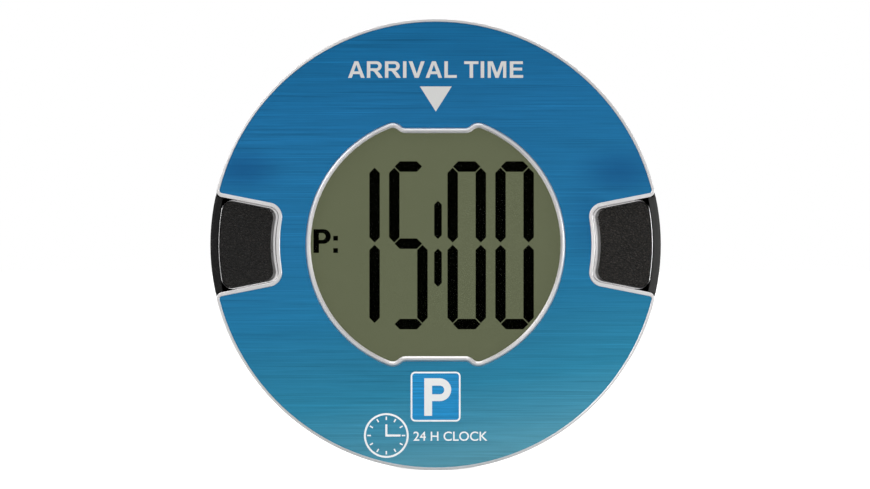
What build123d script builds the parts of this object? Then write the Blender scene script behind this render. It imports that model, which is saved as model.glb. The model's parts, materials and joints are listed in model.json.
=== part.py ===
"""Electronic parking disc: a round arrival-time clock that is taped inside a car's windscreen.

Millimetres. The disc stands upright with its face towards -Y, +X to its right and +Z up. The origin
is the centre of the disc, half way through its thickness. A depth is measured back from the crest of
the front bezel, towards +Y.
"""
import os
from math import cos, hypot, radians, sin, tan

from build123d import *

os.makedirs("parts", exist_ok=True)

# ---- Driving dimensions ----
disc_diameter = 105.0
thickness = 16.0

# Front bezel and the printed face in it
rim_width = 0.63              # bright edge left outside the face
pocket_depth = 0.6            # crest of the bezel down to the floor of the face's pocket
inlay_thickness = 0.4
inlay_gap = 0.05
inlay_tip_radius = 0.7        # rounding of the face's four tips beside the buttons
bezel_height = 2.6
crest_rounding = 0.1
window_bevel = 0.38           # inner bevel of the window's trim
mouth_corner_radius = 1.5     # rounding of the bezel's corners where a bay opens at the rim

# Display window: a circle with a flat tab let in at its top and at its bottom. The tab's sizes are
# those for a window of the reference radius, and grow or shrink with the window.
window_radius = 29.1
window_trim = 1.14
tab_reference_radius = 29.1
tab_share = window_radius / tab_reference_radius
tab_drop = 3.12 * tab_share   # circle's top down to the tab's flat
tab_half_width = 7.95 * tab_share
tab_slope = 42.0
tab_corner_radius = 2.8 * tab_share
window_peak_radius = 1.8 * tab_share

# Button bays: mouth at the rim, side walls that taper inwards, and a waisted inner side
bay_depth = 16.25
bay_mouth_half_height = 12.5
bay_side_angle = 11.16
bay_bulge = 1.12              # how much nearer to the centre the inner side's ends lie than its waist
bay_corner_radius = 3.3
bay_lip = 0.88
button_gap = 0.15

# Buttons
button_crest_depth = 0.55
button_outer_gap = 0.22       # button to the housing's strip outside it
button_outer_corner = 2.8
button_crest_width = 0.5
button_slope_width = 0.7
button_side_border = 0.45
button_outer_border = 0.3
pad_corner_radius = 2.2
pad_inner_depth = 1.35
pad_outer_depth = 0.75
pad_pocket_depth = 2.0
pad_gap = 0.03
flange_thickness = 0.8
flange_overlap = 0.78
flange_rim_inset = 3.0
button_travel = 1.0
guide_pin_diameter = 2.0
guide_pin_spread = 6.2
guide_pin_inset = 9.1         # rim to the pins and to the dome, along X
guide_pin_length = 7.0
guide_pin_clearance = 0.05

# Lens and display stack, from the front
ledge_thickness = 0.5
ledge_width = 1.9
lens_gap = 0.1
adhesive_thickness = 0.15
adhesive_width = 1.3
lens_thickness = 1.2
gasket_thickness = 0.3
segment_thickness = 0.05
polarizer_thickness = 0.2
glass_thickness = 1.1
glass_margin = 1.9            # glass beyond the window, left and right
contact_ledge = 3.2           # front glass beyond the rear glass, top and bottom
rear_glass_margin = 0.7
glass_corner_cut = 10.0
film_inset = 0.7
frame_wall = 1.2
frame_gap = 0.1
frame_web = 1.25
frame_seat_width = 6.0        # web of the frame under the glass, left and right
frame_seat_height = 5.8
peg_diameter = 1.6
zebra_width = 2.0
zebra_end_inset = 11.0        # sides of the glass to the ends of the rubber connectors

# Display characters
digit_width = 8.99
digit_height = 39.19
digit_pitch = 11.16
first_digit_left = -22.01
digit_bottom = -19.755
digit_waist = 0.23            # middle of the level bar half way up
segment_width = 2.43
segment_gap = 0.28            # upright bars' tips to the middles of the level bars
segment_side_gap = 0.08       # level bars' tips to the middles of the upright bars
colon_width = 1.77
colon_height = 8.9
colon_left = -0.33
colon_upper_foot = 1.32
colon_lower_foot = -9.83
colon_room = 2.46
prefix_left = -28.5
prefix_bottom = -1.93
prefix_width = 4.04
prefix_height = 5.53
prefix_stem = 1.3
prefix_bowl_radius = 1.7
prefix_hole_radius = 0.8
prefix_hole_right = 1.2       # right-hand side of the bowl to its hole
prefix_dot = 1.1
prefix_dot_gap = 1.13         # letter to the middle of its two dots
prefix_dot_pitch = 2.88

# Circuit board
board_thickness = 1.2
board_inset = 5.0             # rim of the disc to the edge of the board
board_screw_radius = 44.0
board_screw_angle = 60.0
chip_size = 10.0
chip_height = 0.9
sensor_size = 3.0
crystal_diameter = 2.0
crystal_length = 6.2
dome_base_diameter = 9.0
dome_wall = 0.6
plunger_diameter = 4.4
plunger_height = 1.2
pill_diameter = 3.0
pill_thickness = 0.9
contact_pad_thickness = 0.05

# Housing, battery compartment and cover
housing_wall = 1.75
housing_floor = 1.8
rear_edge_radius = 2.6
strip_depth = 1.0             # crest down to the top of the housing's strip outside each button
strip_gap = 0.12
strip_edge_radius = 0.7
rib_thickness = 0.6
rib_height = 1.6
rib_gap = 0.1
cell_diameter = 24.5
cell_height = 5.0
cells_apart = 1.5
cell_gap = 0.3
cell_cap_step = 0.5
cell_cap_inset = 2.0
nest_wall = 1.2
nest_height = 3.4
cup_floor = 0.8
cup_wall = 1.2
cup_margin = 5.35             # cells' far edge to the wall of the compartment
contact_thickness = 0.2
contact_leaf_thickness = 0.3
contact_leaf_height = 3.4
contact_leaf_half_width = 4.6
contact_leaf_gap = 0.28       # leaf's ends to the cells' rims
contact_tail_width = 2.0
cover_plate = 1.4
cover_cell_gap = 0.2
cover_gap = 0.1
cover_skirt_wall = 1.6
cover_flange_width = 2.9
cover_flange_thickness = 0.7
seal_thickness = 0.3
seal_width = 1.1
lip_thickness = 0.8
lug_width_angle = 24.0
lug_height = 0.9
lug_reach = 1.2
lug_gap = 0.1
lug_count = 3
lug_slot_play = 4.0           # degrees by which a slot is wider than its lug
cover_turn = 30.0             # turn from locked to free
coin_slot_width = 2.2
coin_slot_length = 22.0
coin_slot_depth = 0.8
mark_radius = 0.6
mark_depth = 0.25

# Screws
housing_screw_inset = 7.5     # rim to the screw, measured along the radius
housing_screw_angle = 35.0
housing_screw_diameter = 2.2
housing_screw_head = 4.0
housing_screw_head_height = 1.6
housing_screw_length = 6.5
housing_screw_seat = 5.6      # back of the disc in to the seat of the screw head
boss_diameter = 6.4
column_diameter = 8.0
boss_end_depth = 8.2
board_screw_diameter = 1.8
board_screw_head = 3.6
board_screw_head_height = 1.3
board_screw_length = 4.5
board_post_diameter = 5.0
screw_fit = 0.02              # radial, drawn at the thread's mean diameter
screw_clearance = 0.15
recess_width = 0.6
recess_length = 2.0
recess_depth = 0.7

# ---- Worked-out sizes and places ----
disc_radius = disc_diameter / 2
inlay_radius = disc_radius - rim_width
inlay_front = pocket_depth - inlay_thickness
bezel_back = bezel_height
ledge_back = pocket_depth + ledge_thickness
lens_front = ledge_back + adhesive_thickness
lens_back = lens_front + lens_thickness
lens_radius = window_radius + ledge_width - lens_gap
glass_front_film = lens_back + gasket_thickness
front_glass_front = glass_front_film + polarizer_thickness
rear_glass_front = front_glass_front + glass_thickness
reflector_front = rear_glass_front + glass_thickness
reflector_back = reflector_front + polarizer_thickness
board_front = reflector_back + frame_web
board_back = board_front + board_thickness
board_radius = disc_radius - board_inset

window_flat = window_radius - tab_drop
glass_half_width = window_radius + glass_margin
rear_glass_half_height = window_radius + rear_glass_margin
front_glass_half_height = rear_glass_half_height + contact_ledge
zebra_length = 2 * (glass_half_width - zebra_end_inset)
zebra_centre = rear_glass_half_height + contact_ledge / 2

housing_inner_radius = disc_radius - housing_wall
floor_front = thickness - housing_floor
bay_waist = disc_radius - bay_depth
button_margin = bay_lip + button_gap
button_outer_radius = housing_inner_radius - button_outer_gap
flange_margin = button_margin - flange_overlap
flange_back = bezel_back + flange_thickness
guide_x = disc_radius - guide_pin_inset
guide_bore_radius = guide_pin_diameter / 2 + guide_pin_clearance
guide_post_depth = board_back + cup_floor
guide_bore_end = flange_back + guide_pin_length + button_travel + cup_floor

cell_spacing = cell_diameter + cells_apart
screw_radius = disc_radius - housing_screw_inset
screw_x = screw_radius * cos(radians(housing_screw_angle))
screw_z = screw_radius * sin(radians(housing_screw_angle))
board_screw_x = board_screw_radius * cos(radians(board_screw_angle))
board_screw_z = board_screw_radius * sin(radians(board_screw_angle))
screw_seat_depth = thickness - housing_screw_seat

cell_back = thickness - cover_plate - cover_cell_gap
cell_front = cell_back - cell_height
cup_floor_back = cell_front - contact_thickness
cup_floor_front = cup_floor_back - cup_floor
cup_radius = cell_spacing / 2 + cell_diameter / 2 + cup_margin
cover_opening_radius = cup_radius - lug_reach - 3 * lug_gap
cover_skirt_radius = cover_opening_radius - cover_gap
cover_flange_radius = cover_opening_radius + cover_flange_width
lip_back = floor_front + lip_thickness
lug_slot_radius = cover_skirt_radius + lug_reach + lug_gap
lug_back = floor_front - lug_gap
lug_front = lug_back - lug_height
mark_circle_radius = cover_flange_radius + 2.6
leaf_reach = cell_diameter / 2 + contact_leaf_gap
leaf_z = (leaf_reach**2 - (cell_spacing / 2 - contact_leaf_half_width) ** 2) ** 0.5
nest_break_height = 2 * (leaf_z - 6 * contact_leaf_thickness)


def at(depth):
    """Sketch plane at a depth behind the crest; its X is the disc's X and its Y is the disc's Z."""
    return Plane.XZ.offset(thickness / 2 - depth)


def window_outline(margin=0.0):
    """Outline of the display window, grown by the margin."""
    radius = window_radius + margin
    flat = window_flat + margin
    shoulder = tab_half_width - margin * tan(radians(tab_slope / 2))
    rise = 2 * tab_drop
    with BuildSketch() as outline:
        Circle(radius)
        with BuildSketch(mode=Mode.PRIVATE) as tab:
            with BuildLine():
                Polyline(
                    (-shoulder, flat),
                    (shoulder, flat),
                    (shoulder + rise / tan(radians(tab_slope)), flat + rise),
                    (-shoulder - rise / tan(radians(tab_slope)), flat + rise),
                    close=True,
                )
            make_face()
            mirror(about=Plane.XZ)
        add(tab.sketch, mode=Mode.SUBTRACT)
        corners = outline.vertices().filter_by(lambda corner: abs(corner.Y) > flat - 0.01)
        peaks = corners.filter_by(lambda corner: abs(corner.X) > shoulder + 0.1)
        fillet(peaks, window_peak_radius + margin)
        shoulders = outline.vertices().filter_by(
            lambda corner: abs(abs(corner.X) - shoulder) < 0.01 and abs(abs(corner.Y) - flat) < 0.01
        )
        fillet(shoulders, tab_corner_radius - margin)
    return outline.sketch


def bay_outline(margin, outer_radius=None, inner_margin=None, inner_corner=None, outer_corner=None):
    """Outline of the right-hand button bay, drawn in from the edge of the face by the margin."""
    inner = margin if inner_margin is None else inner_margin
    waist = bay_waist + inner
    corner_x = waist - bay_bulge
    mouth_x = disc_radius * 1.1
    slope = tan(radians(bay_side_angle))
    drop = margin / cos(radians(bay_side_angle))
    corner_z = bay_mouth_half_height - drop - slope * (disc_radius - corner_x)
    mouth_z = bay_mouth_half_height - drop + slope * (mouth_x - disc_radius)
    with BuildSketch() as outline:
        with BuildLine():
            ThreePointArc((corner_x, -corner_z), (waist, 0), (corner_x, corner_z))
            Polyline((corner_x, corner_z), (mouth_x, mouth_z), (mouth_x, -mouth_z), (corner_x, -corner_z))
        make_face()
        fillet(outline.vertices().group_by(Axis.X)[0], inner_corner or bay_corner_radius - margin)
        if outer_radius:
            Circle(outer_radius, mode=Mode.INTERSECT)
        if outer_corner:
            ends = outline.vertices().filter_by(lambda corner: abs(corner.Y) > 3 and corner.X > guide_x)
            fillet(ends.group_by(Axis.X)[-1], outer_corner)
    return outline.sketch


def disc_between_bays(radius, margin, tip_radius):
    """Disc with both button bays cut out and its four tips rounded."""
    with BuildSketch() as outline:
        Circle(radius)
        with BuildSketch(mode=Mode.PRIVATE) as bays:
            add(bay_outline(margin))
            mirror(about=Plane.YZ)
        add(bays.sketch, mode=Mode.SUBTRACT)
        tips = outline.vertices().filter_by(lambda tip: hypot(tip.X, tip.Y) > radius - 0.1)
        fillet(tips, tip_radius)
    return outline.sketch


def distance_from_axis(edge):
    """Distance of an edge's middle from the disc's axis."""
    middle = edge @ 0.5
    return hypot(middle.X, middle.Z)


def is_window_crest(edge):
    """True for the edges of the window's opening on the bezel's crest."""
    on_crest = abs(edge.center().Y + thickness / 2) < 0.001
    return on_crest and distance_from_axis(edge) < window_radius + window_bevel


def cut_plate(half_width, half_height, corner_cut):
    """Rectangle with its four corners cut at 45 degrees."""
    with BuildSketch() as outline:
        Rectangle(2 * half_width, 2 * half_height)
        chamfer(outline.vertices(), corner_cut)
    return outline.sketch


def diagonal_cut(half_width, half_height):
    """Corner cut that keeps a plate's slanted corners in line with those of the front glass."""
    return half_width + half_height - (glass_half_width + front_glass_half_height - glass_corner_cut)


def cross_recess():
    """Outline of the cross recess in a screw head."""
    with BuildSketch() as outline:
        Rectangle(recess_length, recess_width)
        Rectangle(recess_width, recess_length)
    return outline.sketch


def lug_sector(angle, inner_radius, outer_radius):
    """Ring sector of one lug, centred on the sketch's X."""
    with BuildSketch() as outline:
        Circle(outer_radius)
        Circle(inner_radius, mode=Mode.SUBTRACT)
        reach = 2 * outer_radius
        with BuildSketch(mode=Mode.PRIVATE) as wedge:
            with BuildLine():
                Polyline(
                    (0, 0),
                    (reach, -reach * tan(radians(angle / 2))),
                    (reach, reach * tan(radians(angle / 2))),
                    close=True,
                )
            make_face()
        add(wedge.sketch, mode=Mode.INTERSECT)
    return outline.sketch


# ---- Front bezel: one bright moulding that frames the face, the window and the buttons ----
with BuildPart() as front_bezel:
    with BuildSketch(at(bezel_back)):
        add(disc_between_bays(disc_radius, bay_lip, mouth_corner_radius))
        add(window_outline(), mode=Mode.SUBTRACT)
    extrude(amount=bezel_height)
    with BuildSketch(at(pocket_depth)):
        add(disc_between_bays(inlay_radius, 0.0, inlay_tip_radius))
        add(window_outline(window_trim), mode=Mode.SUBTRACT)
    extrude(amount=pocket_depth, mode=Mode.SUBTRACT)
    with BuildSketch(at(bezel_back)):
        Circle(window_radius + ledge_width)
    extrude(amount=bezel_back - ledge_back, mode=Mode.SUBTRACT)
    window_edges = front_bezel.edges().filter_by(is_window_crest)
    chamfer(window_edges, window_bevel)
    crest = front_bezel.faces().filter_by(Axis.Y).group_by(Axis.Y)[0]
    trim_middle = window_radius + window_trim / 2
    rim_edges = crest.edges().filter_by(lambda edge: distance_from_axis(edge) > trim_middle)
    fillet(rim_edges, crest_rounding)
    # Bosses that the housing screws bite into
    with BuildSketch(at(boss_end_depth)):
        with GridLocations(2 * screw_x, 2 * screw_z, 2, 2):
            Circle(boss_diameter / 2)
    extrude(amount=boss_end_depth - bezel_back)
    with BuildSketch(at(boss_end_depth)):
        with GridLocations(2 * screw_x, 2 * screw_z, 2, 2):
            Circle(housing_screw_diameter / 2 + screw_fit)
    extrude(amount=boss_end_depth - bezel_back, mode=Mode.SUBTRACT)
    # Rib that locates the bezel inside the housing's wall, left out beside the buttons
    with BuildSketch(at(bezel_back + rib_height)):
        Circle(housing_inner_radius - rib_gap)
        Circle(housing_inner_radius - rib_gap - rib_thickness, mode=Mode.SUBTRACT)
        with BuildSketch(mode=Mode.PRIVATE) as rib_breaks:
            add(bay_outline(-2 * bay_lip))
            mirror(about=Plane.YZ)
        add(rib_breaks.sketch, mode=Mode.SUBTRACT)
    extrude(amount=rib_height)
front_bezel.part.label = "front_bezel"
export_step(front_bezel.part, "parts/front_bezel.step")

# ---- Printed face in the bezel's pocket ----
with BuildPart() as face_inlay:
    with BuildSketch(at(pocket_depth)):
        add(disc_between_bays(inlay_radius - inlay_gap, -inlay_gap, inlay_tip_radius))
        add(window_outline(window_trim + inlay_gap), mode=Mode.SUBTRACT)
    extrude(amount=inlay_thickness)
face_inlay.part.label = "face_inlay"
export_step(face_inlay.part, "parts/face_inlay.step")

# ---- Lens and the tape that holds it to the bezel's ledge ----
with BuildPart() as lens_adhesive:
    with BuildSketch(at(lens_front)):
        Circle(lens_radius)
        Circle(lens_radius - adhesive_width, mode=Mode.SUBTRACT)
    extrude(amount=adhesive_thickness)
lens_adhesive.part.label = "lens_adhesive"
export_step(lens_adhesive.part, "parts/lens_adhesive.step")

with BuildPart() as display_lens:
    with BuildSketch(at(lens_back)):
        Circle(lens_radius)
    extrude(amount=lens_thickness)
display_lens.part.label = "display_lens"
export_step(display_lens.part, "parts/display_lens.step")

with BuildPart() as lens_gasket:
    with BuildSketch(at(glass_front_film)):
        Circle(lens_radius)
        Circle(lens_radius - adhesive_width, mode=Mode.SUBTRACT)
    extrude(amount=gasket_thickness)
lens_gasket.part.label = "lens_gasket"
export_step(lens_gasket.part, "parts/lens_gasket.step")

# ---- Liquid crystal display: films, two glasses and the dark characters ----
film_half_width = glass_half_width - film_inset
film_half_height = rear_glass_half_height - film_inset / 2
with BuildPart() as lcd_polarizer:
    with BuildSketch(at(front_glass_front)):
        add(cut_plate(film_half_width, film_half_height, diagonal_cut(film_half_width, film_half_height)))
    extrude(amount=polarizer_thickness)
lcd_polarizer.part.label = "lcd_polarizer"
export_step(lcd_polarizer.part, "parts/lcd_polarizer.step")

with BuildPart() as lcd_front_glass:
    with BuildSketch(at(rear_glass_front)):
        add(cut_plate(glass_half_width, front_glass_half_height, glass_corner_cut))
    extrude(amount=glass_thickness)
lcd_front_glass.part.label = "lcd_front_glass"
export_step(lcd_front_glass.part, "parts/lcd_front_glass.step")

rear_glass_cut = diagonal_cut(glass_half_width, rear_glass_half_height)
with BuildPart() as lcd_rear_glass:
    with BuildSketch(at(reflector_front)):
        add(cut_plate(glass_half_width, rear_glass_half_height, rear_glass_cut))
    extrude(amount=glass_thickness)
lcd_rear_glass.part.label = "lcd_rear_glass"
export_step(lcd_rear_glass.part, "parts/lcd_rear_glass.step")

with BuildPart() as lcd_reflector:
    with BuildSketch(at(reflector_back)):
        add(cut_plate(film_half_width, film_half_height, diagonal_cut(film_half_width, film_half_height)))
    extrude(amount=polarizer_thickness)
lcd_reflector.part.label = "lcd_reflector"
export_step(lcd_reflector.part, "parts/lcd_reflector.step")


def bar(start, end, width):
    """Bar with pointed 45 degree ends, upright or level, from tip to tip."""
    length = abs(end[0] - start[0]) + abs(end[1] - start[1])
    half = width / 2
    upright = start[0] == end[0]
    middle = ((start[0] + end[0]) / 2, (start[1] + end[1]) / 2)
    with BuildSketch() as outline:
        with Locations(Location(middle, 90 if upright else 0)):
            Rectangle(length, width)
            chamfer(outline.vertices(), half - 0.01)
    return outline.sketch


def digit(left, lit):
    """Seven-segment digit; lit names its dark segments, a to g, clockwise from the top."""
    near = left + segment_width / 2
    far = left + digit_width - segment_width / 2
    foot = digit_bottom + segment_width / 2
    head = digit_bottom + digit_height - segment_width / 2
    waist = digit_waist
    gap = segment_gap
    side_gap = segment_side_gap
    ends = {
        "a": ((near + side_gap, head), (far - side_gap, head)),
        "b": ((far, waist + gap), (far, head - gap)),
        "c": ((far, foot + gap), (far, waist - gap)),
        "d": ((near + side_gap, foot), (far - side_gap, foot)),
        "e": ((near, foot + gap), (near, waist - gap)),
        "f": ((near, waist + gap), (near, head - gap)),
        "g": ((near + side_gap, waist), (far - side_gap, waist)),
    }
    with BuildSketch() as outline:
        for name in lit:
            add(bar(*ends[name], segment_width))
    return outline.sketch


colon_x = colon_left + colon_width / 2
prefix_top = prefix_bottom + prefix_height
bowl_x = prefix_left + prefix_width - prefix_bowl_radius
bowl_z = prefix_top - prefix_bowl_radius
hole_x = prefix_left + prefix_width - prefix_hole_right - prefix_hole_radius
hole_left = prefix_left + prefix_stem
with BuildPart() as lcd_segments:
    with BuildSketch(at(glass_front_film)):
        for place, lit in enumerate(["bc", "afgcd", "abcdef", "abcdef"]):
            colon_shift = colon_room if place > 1 else 0
            add(digit(first_digit_left + place * digit_pitch + colon_shift, lit))
        for bar_foot in (colon_upper_foot, colon_lower_foot):
            add(bar((colon_x, bar_foot), (colon_x, bar_foot + colon_height), colon_width))
        # Small letter P and its colon
        with BuildSketch(mode=Mode.PRIVATE) as prefix:
            with Locations((prefix_left + prefix_stem / 2, prefix_bottom + prefix_height / 2)):
                Rectangle(prefix_stem, prefix_height)
            with Locations((bowl_x, bowl_z)):
                Circle(prefix_bowl_radius)
            with Locations(((prefix_left + bowl_x) / 2, bowl_z)):
                Rectangle(bowl_x - prefix_left, 2 * prefix_bowl_radius)
            with Locations((hole_x, bowl_z)):
                Circle(prefix_hole_radius, mode=Mode.SUBTRACT)
            with Locations(((hole_left + hole_x) / 2, bowl_z)):
                Rectangle(hole_x - hole_left, 2 * prefix_hole_radius, mode=Mode.SUBTRACT)
            for dot_foot in (prefix_bottom, prefix_bottom + prefix_dot_pitch):
                with Locations((prefix_left + prefix_width + prefix_dot_gap, dot_foot + prefix_dot / 2)):
                    Rectangle(prefix_dot, prefix_dot)
        add(prefix.sketch)
    extrude(amount=segment_thickness)
lcd_segments.part.label = "lcd_segments"
export_step(lcd_segments.part, "parts/lcd_segments.step")

# ---- Frame that holds the glasses and the rubber connectors to the board ----
outer_half_width = glass_half_width + frame_gap + frame_wall
outer_half_height = front_glass_half_height + frame_gap + frame_wall
frame_window_half_width = glass_half_width - frame_seat_width
frame_window_half_height = rear_glass_half_height - frame_seat_height
peg_x = (frame_window_half_width + outer_half_width) / 2
with BuildPart() as lcd_frame:
    with BuildSketch(at(board_front)):
        add(cut_plate(outer_half_width, outer_half_height, glass_corner_cut))
    extrude(amount=board_front - bezel_back)
    with BuildSketch(at(rear_glass_front)):
        add(
            cut_plate(
                glass_half_width + frame_gap,
                front_glass_half_height + frame_gap,
                glass_corner_cut,
            )
        )
    extrude(amount=rear_glass_front - bezel_back, mode=Mode.SUBTRACT)
    with BuildSketch(at(reflector_back)):
        add(cut_plate(glass_half_width + frame_gap, rear_glass_half_height + frame_gap, rear_glass_cut))
    extrude(amount=reflector_back - bezel_back, mode=Mode.SUBTRACT)
    with BuildSketch(at(board_front)):
        Rectangle(2 * frame_window_half_width, 2 * frame_window_half_height)
        with GridLocations(0, 2 * zebra_centre, 1, 2):
            Rectangle(zebra_length + 2 * frame_gap, zebra_width + 2 * frame_gap)
    extrude(amount=board_front - bezel_back, mode=Mode.SUBTRACT)
    with BuildSketch(at(board_front)):
        with GridLocations(2 * peg_x, 0, 2, 1):
            Circle(peg_diameter / 2)
    extrude(amount=-board_thickness * 0.8)
lcd_frame.part.label = "lcd_frame"
export_step(lcd_frame.part, "parts/lcd_frame.step")

with BuildPart() as zebra_strip_upper:
    with BuildSketch(at(board_front)):
        with Locations((0, zebra_centre)):
            Rectangle(zebra_length, zebra_width)
    extrude(amount=board_front - rear_glass_front)
zebra_strip_upper.part.label = "zebra_strip_upper"
export_step(zebra_strip_upper.part, "parts/zebra_strip_upper.step")

with BuildPart() as zebra_strip_lower:
    mirror(zebra_strip_upper.part, about=Plane.XY)
zebra_strip_lower.part.label = "zebra_strip_lower"
export_step(zebra_strip_lower.part, "parts/zebra_strip_lower.step")

# ---- Circuit board and what is soldered to it ----
tail_slot = contact_tail_width + 0.4
with BuildPart() as main_board:
    with BuildSketch(at(board_back)):
        Circle(board_radius)
        with GridLocations(2 * screw_x, 2 * screw_z, 2, 2):
            Circle(boss_diameter / 2 + 0.5, mode=Mode.SUBTRACT)
        with GridLocations(2 * guide_x, 2 * guide_pin_spread, 2, 2):
            Circle(guide_pin_diameter / 2 + 0.4, mode=Mode.SUBTRACT)
        with GridLocations(2 * board_screw_x, 2 * board_screw_z, 2, 2):
            Circle(board_screw_diameter / 2 + screw_clearance, mode=Mode.SUBTRACT)
        with GridLocations(2 * peg_x, 0, 2, 1):
            Circle(peg_diameter / 2 + frame_gap, mode=Mode.SUBTRACT)
        with Locations((0, leaf_z + contact_leaf_thickness / 2), (0, -leaf_z)):
            Rectangle(tail_slot, 2 * contact_leaf_thickness, mode=Mode.SUBTRACT)
    extrude(amount=board_thickness)
main_board.part.label = "main_board"
export_step(main_board.part, "parts/main_board.step")

with BuildPart() as controller_chip:
    with BuildSketch(at(board_front)):
        with Locations((-10, 0)):
            RectangleRounded(chip_size, chip_size, 0.4)
    extrude(amount=chip_height)
    chamfer(controller_chip.faces().sort_by(Axis.Y)[0].edges(), 0.15)
controller_chip.part.label = "controller_chip"
export_step(controller_chip.part, "parts/controller_chip.step")

with BuildPart() as motion_sensor:
    with BuildSketch(at(board_front)):
        with Locations((8, 12)):
            Rectangle(sensor_size, sensor_size)
    extrude(amount=chip_height)
motion_sensor.part.label = "motion_sensor"
export_step(motion_sensor.part, "parts/motion_sensor.step")

with BuildPart() as clock_crystal:
    with BuildSketch(Plane.YZ.offset(-crystal_length / 2)):
        with Locations((board_back + crystal_diameter / 2 - thickness / 2, 37)):
            Circle(crystal_diameter / 2)
    extrude(amount=crystal_length)
clock_crystal.part.label = "clock_crystal"
export_step(clock_crystal.part, "parts/clock_crystal.step")

with BuildPart() as board_components:
    with BuildSketch(at(board_front)):
        with Locations((8, 0)):
            with GridLocations(4.0, 3.6, 4, 4):
                Rectangle(1.6, 0.8)
    extrude(amount=0.6)
    with BuildSketch(at(board_front)):
        with Locations((-10, 14), (-10, -14)):
            Rectangle(3.2, 1.6)
    extrude(amount=0.8)
board_components.part.label = "board_components"
export_step(board_components.part, "parts/board_components.step")

with BuildPart() as button_contacts:
    with BuildSketch(at(board_front)):
        with GridLocations(2 * guide_x, 0, 2, 1):
            Circle(pill_diameter / 2)
            Rectangle(pill_diameter, 0.3, mode=Mode.SUBTRACT)
    extrude(amount=contact_pad_thickness)
button_contacts.part.label = "button_contacts"
export_step(button_contacts.part, "parts/button_contacts.step")

# ---- Right button: bright frame, grained pad, rubber dome and its contact pill ----
with BuildPart() as button_frame_right:
    with BuildSketch(at(flange_back)):
        add(bay_outline(flange_margin, outer_radius=button_outer_radius - flange_rim_inset))
    extrude(amount=flange_thickness)
    with BuildSketch(at(flange_back)):
        add(
            bay_outline(
                button_margin,
                outer_radius=button_outer_radius,
                outer_corner=button_outer_corner,
            )
        )
    extrude(amount=flange_back - button_crest_depth)
    fillet(button_frame_right.faces().sort_by(Axis.Y)[0].edges(), 0.12)
    # Slope from the frame's crest down to the pad
    with BuildSketch(at(button_crest_depth - 0.01)):
        add(
            bay_outline(
                button_margin + button_side_border * 0.5,
                outer_radius=button_outer_radius - button_outer_border * 0.5,
                inner_margin=button_margin + button_crest_width,
                inner_corner=pad_corner_radius,
                outer_corner=pad_corner_radius,
            )
        )
    with BuildSketch(at(pad_inner_depth)):
        add(
            bay_outline(
                button_margin + button_side_border,
                outer_radius=button_outer_radius - button_outer_border,
                inner_margin=button_margin + button_crest_width + button_slope_width,
                inner_corner=pad_corner_radius,
                outer_corner=pad_corner_radius,
            )
        )
    loft(mode=Mode.SUBTRACT)
    with BuildSketch(at(pad_pocket_depth)):
        add(
            bay_outline(
                button_margin + button_side_border,
                outer_radius=button_outer_radius - button_outer_border,
                inner_margin=button_margin + button_crest_width + button_slope_width,
                inner_corner=pad_corner_radius,
                outer_corner=pad_corner_radius,
            )
        )
    extrude(amount=pad_pocket_depth - pad_inner_depth, mode=Mode.SUBTRACT)
    # Guide pins behind the flange
    with BuildSketch(at(flange_back)):
        with Locations((guide_x, guide_pin_spread), (guide_x, -guide_pin_spread)):
            Circle(guide_pin_diameter / 2)
    extrude(amount=-guide_pin_length)
button_frame_right.part.label = "button_frame_right"
export_step(button_frame_right.part, "parts/button_frame_right.step")

with BuildPart() as button_pad_right:
    with BuildSketch(at(pad_pocket_depth)):
        add(
            bay_outline(
                button_margin + button_side_border + pad_gap,
                outer_radius=button_outer_radius - button_outer_border - pad_gap,
                inner_margin=button_margin + button_crest_width + button_slope_width + pad_gap,
                inner_corner=pad_corner_radius,
                outer_corner=pad_corner_radius,
            )
        )
    extrude(amount=pad_pocket_depth - pad_outer_depth)
    pad_inner_x = bay_waist + button_margin + button_crest_width + button_slope_width - 1
    with BuildSketch(Plane.XY.offset(-bay_mouth_half_height)):
        with BuildLine():
            Polyline(
                (pad_inner_x, pad_inner_depth - thickness / 2),
                (disc_radius, pad_outer_depth - 0.15 - thickness / 2),
                (disc_radius, -thickness / 2),
                (pad_inner_x, -thickness / 2),
                close=True,
            )
        make_face()
    extrude(amount=2 * bay_mouth_half_height, mode=Mode.SUBTRACT)
button_pad_right.part.label = "button_pad_right"
export_step(button_pad_right.part, "parts/button_pad_right.step")

dome_axis = Plane(origin=(guide_x, 0, 0), x_dir=(1, 0, 0), z_dir=(0, 0, 1))
dome_top = flange_back - thickness / 2
dome_foot = board_front - thickness / 2
with BuildPart() as button_dome_right:
    with BuildSketch(dome_axis):
        with BuildLine():
            Polyline(
                (0, dome_top),
                (plunger_diameter / 2, dome_top),
                (plunger_diameter / 2, dome_top + plunger_height - dome_wall),
                (dome_base_diameter / 2 - dome_wall, dome_foot - dome_wall),
                (dome_base_diameter / 2, dome_foot - dome_wall),
                (dome_base_diameter / 2, dome_foot),
                (dome_base_diameter / 2 - 2 * dome_wall, dome_foot),
                (plunger_diameter / 2 - 0.3, dome_top + plunger_height),
                (0, dome_top + plunger_height),
                close=True,
            )
        make_face()
    revolve(axis=Axis((guide_x, 0, 0), (0, 1, 0)))
button_dome_right.part.label = "button_dome_right"
export_step(button_dome_right.part, "parts/button_dome_right.step")

with BuildPart() as contact_pill_right:
    with BuildSketch(at(flange_back + plunger_height + pill_thickness)):
        with Locations((guide_x, 0)):
            Circle(pill_diameter / 2)
    extrude(amount=pill_thickness)
contact_pill_right.part.label = "contact_pill_right"
export_step(contact_pill_right.part, "parts/contact_pill_right.step")

# ---- Left button: the right one mirrored ----
with BuildPart() as button_frame_left:
    mirror(button_frame_right.part, about=Plane.YZ)
button_frame_left.part.label = "button_frame_left"
export_step(button_frame_left.part, "parts/button_frame_left.step")

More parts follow.
